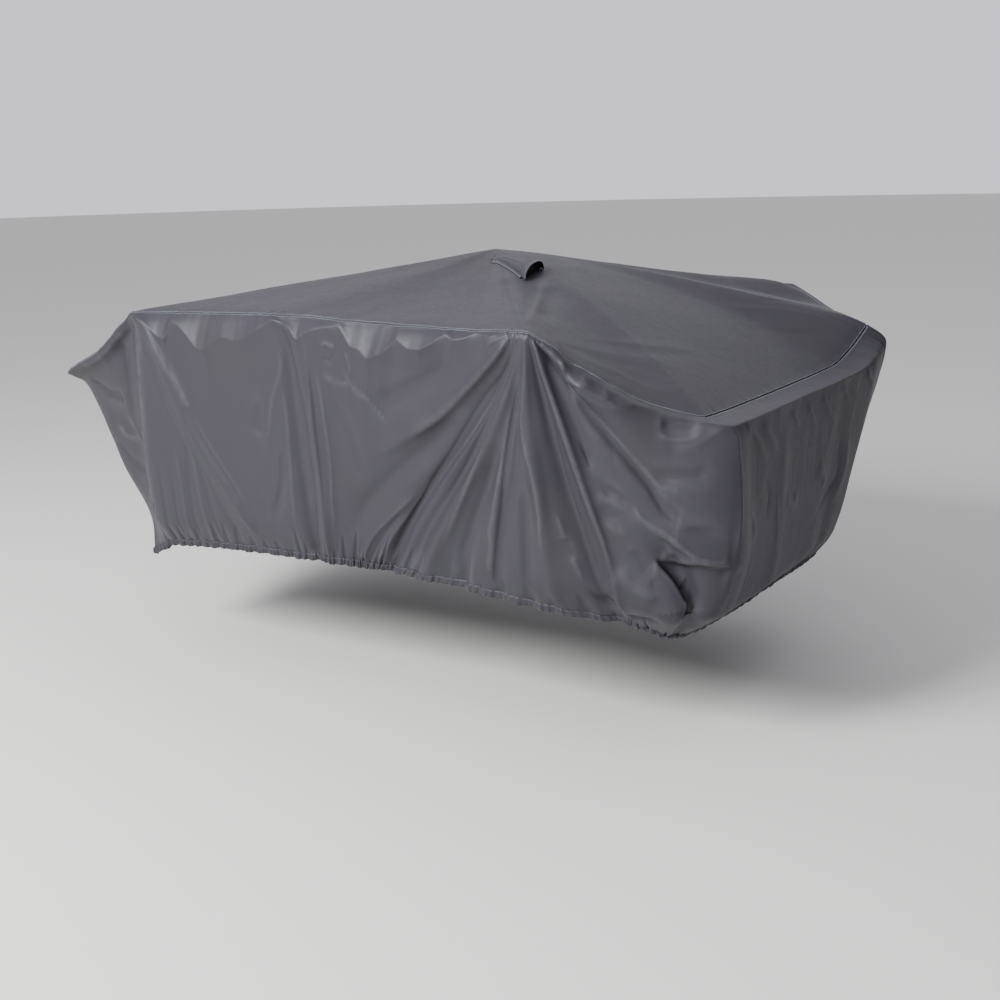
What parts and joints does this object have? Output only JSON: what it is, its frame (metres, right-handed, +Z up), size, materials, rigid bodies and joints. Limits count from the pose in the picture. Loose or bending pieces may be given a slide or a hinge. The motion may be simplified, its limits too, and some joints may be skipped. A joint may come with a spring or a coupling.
{
  "type": "patio furniture cover",
  "caption": "Fitted rectangular fabric cover stretched over garden furniture like a low tent, with a hooded air vent on top and an elastic hem.",
  "frame": {"origin": "underside of the top at its highest point, where the cover is held up", "axes": "+X along the long side, towards the end that the vent faces; +Y towards the back; +Z up"},
  "size_m": [2.2446, 1.3868, 0.927],
  "materials": {
    "coated_cloth": "coated woven polyester, satin sheen",
    "vent_net": "matt knitted net",
    "thread": "twisted polyester thread"
  },
  "bodies": {
    "root": {"top_panel": "coated_cloth", "skirt_front": "coated_cloth", "skirt_right": "coated_cloth", "skirt_back": "coated_cloth", "skirt_left": "coated_cloth", "vent_hood": "coated_cloth", "vent_mesh": "vent_net"}
  },
  "joints": []
}
